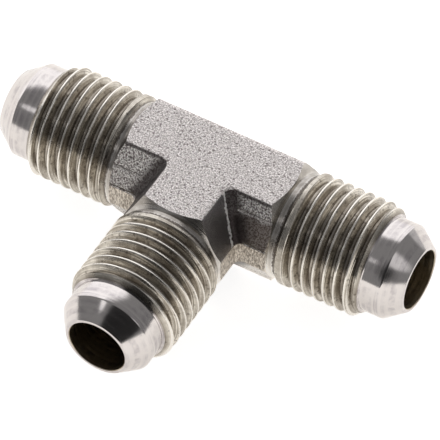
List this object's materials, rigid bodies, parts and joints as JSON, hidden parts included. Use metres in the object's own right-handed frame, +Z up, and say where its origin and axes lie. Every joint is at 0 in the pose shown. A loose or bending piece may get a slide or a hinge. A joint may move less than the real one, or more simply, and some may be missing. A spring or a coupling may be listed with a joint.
{
  "type": "flare tee fitting",
  "caption": "Tee fitting forged and turned from one piece of stainless steel, with equal male 37 degree flare ends, straight threads and through bores.",
  "frame": {"origin": "where the bores of the run and the branch cross, at mid height of the forged body", "axes": "+X along the run, -Y along the branch, +Z up, square to the flat top and bottom faces"},
  "size_m": [0.0552, 0.0347, 0.0142],
  "materials": {
    "stainless_steel": "shot-blasted forged body with turned ends"
  },
  "bodies": {
    "root": {"tee_body": "stainless_steel"}
  },
  "joints": []
}
